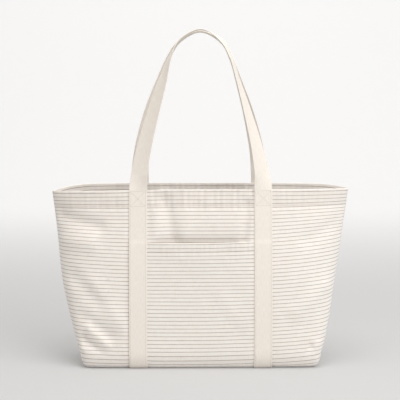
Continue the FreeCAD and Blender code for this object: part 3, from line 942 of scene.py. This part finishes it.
def striped_canvas():
    """Natural cotton canvas, plain woven with thin grey stripes across it.

    It is matt and soft, its yarns are slightly uneven, and a few flecks of cotton seed show.
    """
    finish, tree = new_finish("striped_cotton_canvas")
    place = put(tree, "ShaderNodeUVMap", uv_map="cloth")
    split = put(tree, "ShaderNodeSeparateXYZ", {0: place})
    across, along = split.outputs[0], split.outputs[1]
    # yarns both ways, as long thin flecks a millimetre or so thick, which is coarser than the real ones
    ways = [put(tree, STRETCH, {"Vector": place, "Scale": scale})
            for scale in ((60.0, 900.0, 1.0), (900.0, 60.0, 1.0))]
    weft, warp = [put(tree, NOISE, {"Vector": way, "Scale": 1.0, "Detail": 3.0}) for way in ways]
    both = put(tree, MATH, {0: weft, 1: warp}, operation="ADD")
    yarns = put(tree, MATH, {0: both, 1: 0.5}, operation="MULTIPLY")
    pale = put(tree, RANGE, {"Value": yarns, "From Min": 0.3, "From Max": 0.62})
    ground = put(tree, MIX, {0: pale, 6: linear("#E8E1D9"), 7: linear("#F4EFE9")}, data_type="RGBA")
    # a stripe is about 1.3 mm wide, with soft edges, and it wanders by up to 0.6 mm
    wander = put(tree, NOISE, {"Vector": place, "Scale": 9.0, "Detail": 2.0})
    centred = put(tree, MATH, {0: wander, 1: 0.5}, operation="SUBTRACT")
    shifted = put(tree, MATH, {0: centred, 1: 1.2 * MM, 2: along}, operation="MULTIPLY_ADD")
    row = put(tree, MATH, {0: shifted, 1: STRIPE_PITCH}, operation="DIVIDE")
    part = put(tree, MATH, {0: row}, operation="FRACT")
    offset = put(tree, MATH, {0: part, 1: 0.5}, operation="SUBTRACT")
    away = put(tree, MATH, {0: offset}, operation="ABSOLUTE")
    edges = {"Value": away, "From Min": 0.045, "From Max": 0.1, "To Min": 1.0, "To Max": 0.0}
    stripe = put(tree, RANGE, edges, interpolation_type="SMOOTHSTEP")
    worn = put(tree, RANGE, {"Value": weft, "From Min": 0.3, "From Max": 0.7})
    grey = put(tree, MIX, {0: worn, 6: linear("#A0938A"), 7: linear("#BFB1A7")}, data_type="RGBA")
    striped = put(tree, MIX, {0: stripe, 6: ground.outputs[2], 7: grey.outputs[2]}, data_type="RGBA")
    # flecks of cotton seed, one to every few square centimetres
    cells = put(tree, "ShaderNodeTexVoronoi", {"Vector": place, "Scale": 95.0, "Randomness": 1.0})
    fading = {"From Min": 0.05, "From Max": 0.09, "To Min": 0.5, "To Max": 0.0}
    spot = put(tree, RANGE, {"Value": cells.outputs["Distance"], **fading})
    draw = put(tree, "ShaderNodeSeparateColor", {0: cells.outputs["Color"]})
    chosen = put(tree, MATH, {0: draw, 1: 0.8}, operation="GREATER_THAN")
    fleck = put(tree, MATH, {0: spot, 1: chosen}, operation="MULTIPLY")
    flecked = put(tree, MIX, {0: fleck, 6: striped.outputs[2], 7: linear("#7B6A58")}, data_type="RGBA")
    # painted shade: the hem at the rim is painted a shade deeper from outside, standing in for the
    # doubled cloth letting less light through
    above = put(tree, MATH, {0: along, 1: RIM_RUN - HEM / 2}, operation="SUBTRACT")
    from_middle = put(tree, MATH, {0: above}, operation="ABSOLUTE")
    reach = {"From Min": HEM / 2 - 2 * MM, "From Max": HEM / 2, "To Min": 0.09, "To Max": 0.0}
    painted_hem_shade = put(tree, RANGE, {"Value": from_middle, **reach})
    shaded = put(tree, MIX, {0: painted_hem_shade, 6: flecked.outputs[2], 7: linear("#A89684")}, data_type="RGBA")
    # plain weave, drawn at 1.5 mm a thread where the real one is nearer 0.8 mm
    turns = 2 * math.pi / (1.5 * MM)
    angles = [put(tree, MATH, {0: way, 1: turns}, operation="MULTIPLY") for way in (across, along)]
    over, under = [put(tree, MATH, {0: angle}, operation="SINE") for angle in angles]
    weave = put(tree, MATH, {0: over, 1: under}, operation="MULTIPLY")
    height = put(tree, MATH, {0: weave, 1: 0.25, 2: yarns}, operation="MULTIPLY_ADD")
    bump = put(tree, BUMP, {"Height": height, "Strength": 0.35, "Distance": 0.4 * MM})
    cotton = put(tree, SHADER, {
        "Base Color": shaded.outputs[2], "Normal": bump, "Roughness": 0.92, **MATT,
        "Subsurface Weight": 0.35, "Subsurface Scale": 1.6 * MM, "Subsurface Radius": (1.0, 0.9, 0.8),
    })
    put(tree, SURFACE, {"Surface": cotton})
    return finish


def cotton_webbing(name="cotton_webbing", light="#F0E9E0", dark="#E7DFD4"):
    """Heavy natural cotton webbing, woven as a herringbone twill: matt, with a fine slanting rib."""
    finish, tree = new_finish(name)
    place = put(tree, "ShaderNodeUVMap", uv_map="cloth")
    split = put(tree, "ShaderNodeSeparateXYZ", {0: place})
    # the rib turns back on itself across the width; it is drawn 1.6 mm wide, twice the real one
    offset = put(tree, MATH, {0: split.outputs[0], 1: 0.1}, operation="ADD")
    back_and_forth = put(tree, MATH, {0: offset, 1: 4.75 * MM}, operation="PINGPONG")
    slope = put(tree, MATH, {0: split.outputs[1], 1: back_and_forth}, operation="ADD")
    turns = put(tree, MATH, {0: slope, 1: 2 * math.pi / (1.6 * MM)}, operation="MULTIPLY")
    rib = put(tree, MATH, {0: turns}, operation="SINE")
    stretched = put(tree, STRETCH, {"Vector": place, "Scale": (1100.0, 90.0, 1.0)})
    yarns = put(tree, NOISE, {"Vector": stretched, "Scale": 1.0, "Detail": 3.0})
    pale = put(tree, RANGE, {"Value": yarns, "From Min": 0.3, "From Max": 0.65})
    tone = put(tree, MIX, {0: pale, 6: linear(dark), 7: linear(light)}, data_type="RGBA")
    height = put(tree, MATH, {0: rib, 1: 0.3, 2: yarns}, operation="MULTIPLY_ADD")
    bump = put(tree, BUMP, {"Height": height, "Strength": 0.4, "Distance": 0.4 * MM})
    cotton = put(tree, SHADER, {
        "Base Color": tone.outputs[2], "Normal": bump, "Roughness": 0.9, **MATT})
    put(tree, SURFACE, {"Surface": cotton})
    return finish


def cotton_tape():
    """Cotton twill tape pressed over the seam edges: denser than the canvas, and a little creamier."""
    return cotton_webbing("cotton_tape", "#EDE4D6", "#DED3C3")


def sewing_thread():
    """Spun polyester thread in a natural shade: a slight sheen, broken up by its ply."""
    finish, tree = new_finish("spun_thread")
    place = put(tree, "ShaderNodeTexCoord")
    ply = put(tree, NOISE, {"Vector": place.outputs["Object"], "Scale": 1400.0, "Detail": 2.0})
    pale = put(tree, RANGE, {"Value": ply, "From Min": 0.35, "From Max": 0.65})
    tone = put(tree, MIX, {0: pale, 6: linear("#B3A799"), 7: linear("#CCC1B3")}, data_type="RGBA")
    bump = put(tree, BUMP, {"Height": ply, "Strength": 0.3, "Distance": 0.2 * MM})
    thread = put(tree, SHADER, {
        "Base Color": tone.outputs[2], "Normal": bump, "Roughness": 0.6,
        "Sheen Weight": 0.2, "Specular IOR Level": 0.4,
    })
    put(tree, SURFACE, {"Surface": thread})
    return finish


# ------ room, light and camera


def make_stage():
    """A paper floor that sweeps up into a backdrop, painted pale grey near the bag and white far
    behind: painted shade and light for how the lamps fall on it.
    """
    near, foot, bend, top, half_width = 9.0, 3.4, 1.2, 5.0, 9.0
    profile = [(-near, 0.0), (foot, 0.0)]
    turn = np.linspace(0, math.pi / 2, 16)[1:]
    profile += [(foot + bend * math.sin(a), bend * (1 - math.cos(a))) for a in turn]
    profile.append((foot + bend, top))
    points = np.array([[(x, y, z) for x in (-half_width, half_width)] for y, z in profile])
    sweep = sheet_from("studio_sweep", points[:, ::-1], points[..., :2])
    for face in sweep.data.polygons:
        face.use_smooth = True
    finish, tree = new_finish("studio_paper_painted_light")
    place = put(tree, "ShaderNodeTexCoord")
    split = put(tree, "ShaderNodeSeparateXYZ", {0: place.outputs["Object"]})
    # painted shade: the paper's tone darkens towards the bag and lightens far behind
    depth = {"Value": split.outputs[1], "From Min": 0.3, "From Max": 3.4}
    back = put(tree, RANGE, depth, interpolation_type="SMOOTHSTEP")
    tone = put(tree, MIX, {0: back, 6: linear("#C0C0C0"), 7: linear("#FCFCFC")}, data_type="RGBA")
    grain = put(tree, NOISE, {"Vector": place.outputs["Object"], "Scale": 260.0})
    bump = put(tree, BUMP, {"Height": grain, "Strength": 0.05, "Distance": 0.2 * MM})
    # painted light: the paper glows a little, which softens the shadows on it
    paper = put(tree, SHADER, {
        "Base Color": tone.outputs[2], "Normal": bump, "Roughness": 0.9,
        "Emission Color": tone.outputs[2], "Emission Strength": 0.14,
    })
    put(tree, SURFACE, {"Surface": paper})
    sweep.data.materials.append(finish)


def area_light(name, place, target, size, power, colour=(1, 1, 1)):
    """A square lamp of a size in metres and a power in watts, turned to its target."""
    data = bpy.data.lights.new(name, "AREA")
    data.shape = "SQUARE"
    data.size = size
    data.energy = power
    data.color = colour
    lamp = bpy.data.objects.new(name, data)
    bpy.context.scene.collection.objects.link(lamp)
    lamp.location = place
    lamp.rotation_euler = (Vector(target) - Vector(place)).to_track_quat("-Z", "Y").to_euler()


def light_room():
    """A big soft lamp from the right, a smaller one above, and a little light on the backdrop."""
    world = bpy.data.worlds.new("studio")
    bpy.context.scene.world = world
    world.use_nodes = True
    sky = world.node_tree.nodes["Background"]
    sky.inputs["Color"].default_value = (1.0, 0.985, 0.97, 1)
    sky.inputs["Strength"].default_value = 0.59
    area_light("key", (2.05, -2.2, 2.0), (0, 0, 0.25), 3.4, 62, (0.96, 0.98, 1.0))
    area_light("top", (-0.1, -0.6, 2.5), (0, 0.05, 0.35), 1.6, 27, (1.0, 0.97, 0.93))
    area_light("backdrop", (0, 2.6, 3.4), (0, 4.6, 1.0), 2.5, 4)
    bpy.context.scene.view_settings.view_transform = "Standard"


def make_camera():
    data = bpy.data.cameras.new("camera")
    data.sensor_width = 36
    data.lens = 96.6
    data.clip_end = 50
    camera = bpy.data.objects.new("camera", data)
    bpy.context.scene.collection.objects.link(camera)
    camera.location = (-0.025, -2.284, 0.5695)
    aim = Vector((-0.0015, -0.06, 0.3548))
    camera.rotation_euler = (aim - camera.location).to_track_quat("-Z", "Y").to_euler()
    bpy.context.scene.camera = camera


# ------ the bag

make_camera()
make_stage()
light_room()

CANVAS = striped_canvas()
WEBBING = cotton_webbing()
TAPE = cotton_tape()
THREAD = sewing_thread()
STITCH = model_stitch()

walls = {side: Wall(side) for side in SIGN}
for side, wall in walls.items():
    make_panel(side, wall, CANVAS)
    make_webbing(side, wall, WEBBING)
    make_hem_stitching(side, wall, THREAD)
    make_strap_stitching(side, wall, THREAD)
pocket_face = make_pocket(walls["front"], CANVAS)
make_pocket_stitching(walls["front"], pocket_face, THREAD)
make_bindings(walls["front"], TAPE)
